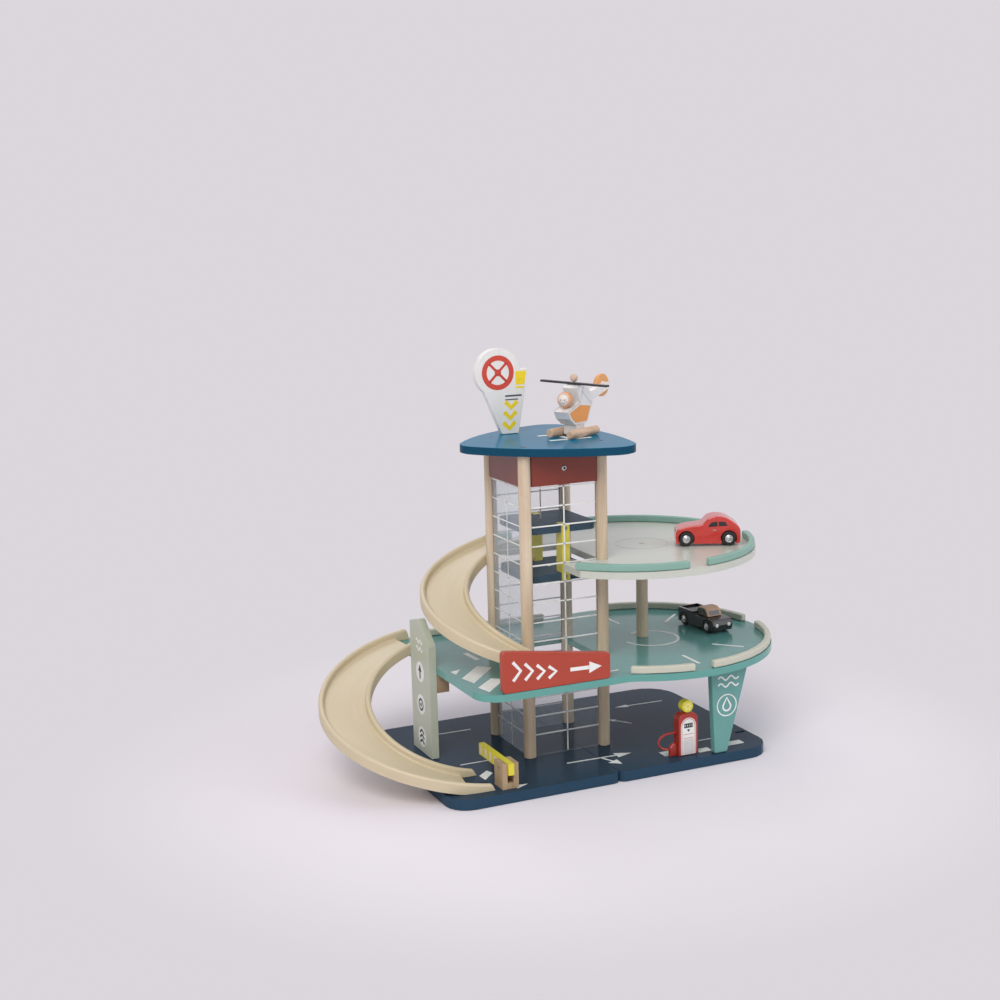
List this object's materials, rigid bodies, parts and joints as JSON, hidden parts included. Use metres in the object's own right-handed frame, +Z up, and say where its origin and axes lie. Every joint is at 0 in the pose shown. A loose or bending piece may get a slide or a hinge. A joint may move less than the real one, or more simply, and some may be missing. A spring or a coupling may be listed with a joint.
{
  "type": "toy parking garage",
  "caption": "Wooden toy parking garage with lift tower, round-ended parking decks, curved ramps, landing pad, signs, fuel pump, barrier, helicopter and toy cars.",
  "frame": {"origin": "the point on the lift shaft's axis at the underside of the base boards", "axes": "+Z up; front towards -Y; +X from the ramps towards the round ends of the decks"},
  "size_m": [0.549, 0.31, 0.4699],
  "materials": {
    "beech": "clear satin lacquer",
    "ramp_cream": "pale varnished wood",
    "base_navy": "gloss paint on wood",
    "pad_blue": "gloss paint on wood",
    "fascia_brick": "gloss paint on wood",
    "clear_panel": "clear sheet printed with a white grid",
    "middle_deck_green": "gloss paint on wood",
    "upper_deck_sage": "satin paint on wood",
    "cream_rim": "satin paint on wood",
    "teal_rim": "satin paint on wood",
    "sign_red": "satin paint on wood",
    "sign_sage": "satin paint on wood",
    "sign_teal": "satin paint on wood",
    "sign_white": "satin paint on wood",
    "lift_blue": "satin paint on wood",
    "yellow_paint": "satin paint on wood",
    "pump_red": "satin paint on wood",
    "helicopter_white": "satin paint on wood",
    "orange_paint": "satin paint on wood",
    "black_paint": "gloss paint on wood",
    "car_red": "gloss paint on wood",
    "wheel_black": "matt",
    "cord_fibre": "braided",
    "steel_pin": "bright"
  },
  "bodies": {
    "garage": {"post_front_left": "beech", "post_front_right": "beech", "post_back_left": "beech", "post_back_right": "beech", "deck_post": "beech", "sign_block": "beech", "barrier_block": "beech", "upper_ramp": "ramp_cream", "lower_ramp": "ramp_cream", "base_left": "base_navy", "base_right": "base_navy", "helipad": "pad_blue", "fascia_front": "fascia_brick", "fascia_back": "fascia_brick", "fascia_left": "fascia_brick", "fascia_right": "fascia_brick", "panel_front": "clear_panel", "panel_back": "clear_panel", "panel_left": "clear_panel", "mid_deck": "middle_deck_green", "upper_deck": "upper_deck_sage", "mid_rim_front": "cream_rim", "mid_rim_right": "cream_rim", "mid_rim_back": "cream_rim", "mid_rim_straight": "cream_rim", "upper_rim_front": "teal_rim", "upper_rim_right": "teal_rim", "upper_rim_back": "teal_rim", "upper_rim_straight": "teal_rim", "parking_sign": "sign_red", "ramp_sign": "sign_sage", "service_sign": "sign_teal", "top_sign": "sign_white", "pump_globe": "yellow_paint", "pump_body": "pump_red", "pump_hose": "pump_red", "pump_nozzle": "pump_red", "lift_cord": "cord_fibre", "barrier_pin": "steel_pin"},
    "lift": {"lift_floor": "lift_blue", "lift_roof": "lift_blue", "lift_strut_front": "yellow_paint", "lift_strut_back": "yellow_paint"},
    "winch": {"winch_spindle": "beech", "crank_knob": "beech"},
    "barrier": {"barrier_arm": "yellow_paint"},
    "helicopter": {"heli_body": "helicopter_white", "pilot_head": "beech", "skid_left": "beech", "skid_right": "beech"},
    "rotor": {"heli_rotor": "black_paint", "rotor_ball": "beech"},
    "tail_disc": {"heli_tail_disc": "orange_paint"},
    "coupe": {"coupe_body": "car_red"},
    "coupe_front": {"coupe_wheels_front": "wheel_black"},
    "coupe_rear": {"coupe_wheels_rear": "wheel_black"},
    "pickup": {"pickup_body": "black_paint", "pickup_cab": "beech"},
    "pickup_front": {"pickup_wheels_front": "wheel_black"},
    "pickup_rear": {"pickup_wheels_rear": "wheel_black"}
  },
  "joints": [
    {"name": "lift_slide", "type": "slide", "parent": "garage", "child": "lift", "axis": [0, 0, 1], "range_m": [-0.2, 0.046], "deforming": ["lift_cord"]},
    {"name": "winch_turn", "type": "hinge", "parent": "garage", "child": "winch", "pos_m": [0, 0, 0.343], "axis": [0, 1, 0], "range_deg": [-1925, 450]},
    {"name": "barrier_swing", "type": "hinge", "parent": "garage", "child": "barrier", "pos_m": [-0.11, -0.1215, 0.035], "axis": [1, 0, 0], "range_deg": [0, 80]},
    {"name": "helicopter_lift_off", "type": "slide", "parent": "garage", "child": "helicopter", "axis": [0, 0, 1], "range_m": [0, 0.1]},
    {"name": "rotor_spin", "type": "hinge", "parent": "helicopter", "child": "rotor", "pos_m": [0.03965, 0.00101, 0.4291], "axis": [0, 0, 1], "continuous": true},
    {"name": "tail_disc_spin", "type": "hinge", "parent": "helicopter", "child": "tail_disc", "pos_m": [0.09572, 0.03082, 0.4218], "axis": [0.4695, -0.8829, 0], "continuous": true},
    {"name": "coupe_roll", "type": "slide", "parent": "garage", "child": "coupe", "axis": [-0.9026, 0.4305, 0], "range_m": [-0.006, 0.1]},
    {"name": "coupe_front_turn", "type": "hinge", "parent": "coupe", "child": "coupe_front", "pos_m": [0.16944, -0.02674, 0.2428], "axis": [-0.4305, -0.9026, 0], "range_deg": [-45, 680]},
    {"name": "coupe_rear_turn", "type": "hinge", "parent": "coupe", "child": "coupe_rear", "pos_m": [0.21457, -0.04826, 0.2428], "axis": [-0.4305, -0.9026, 0], "range_deg": [-45, 680]},
    {"name": "pickup_roll", "type": "slide", "parent": "garage", "child": "pickup", "axis": [0.0872, -0.9962, 0], "range_m": [-0.03, 0.05]},
    {"name": "pickup_front_turn", "type": "hinge", "parent": "pickup", "child": "pickup_front", "pos_m": [0.21555, -0.02221, 0.1278], "axis": [0.9962, 0.0872, 0], "range_deg": [-235, 388]},
    {"name": "pickup_rear_turn", "type": "hinge", "parent": "pickup", "child": "pickup_rear", "pos_m": [0.21145, 0.02461, 0.1278], "axis": [0.9962, 0.0872, 0], "range_deg": [-235, 388]}
  ],
  "couplings": [
    {"joint": "winch_turn", "follows": "lift_slide", "rad_per_m": 166.67},
    {"joint": "coupe_front_turn", "follows": "coupe_roll", "rad_per_m": 117.65},
    {"joint": "coupe_rear_turn", "follows": "coupe_roll", "rad_per_m": 117.65},
    {"joint": "pickup_front_turn", "follows": "pickup_roll", "rad_per_m": 133.33},
    {"joint": "pickup_rear_turn", "follows": "pickup_roll", "rad_per_m": 133.33}
  ]
}
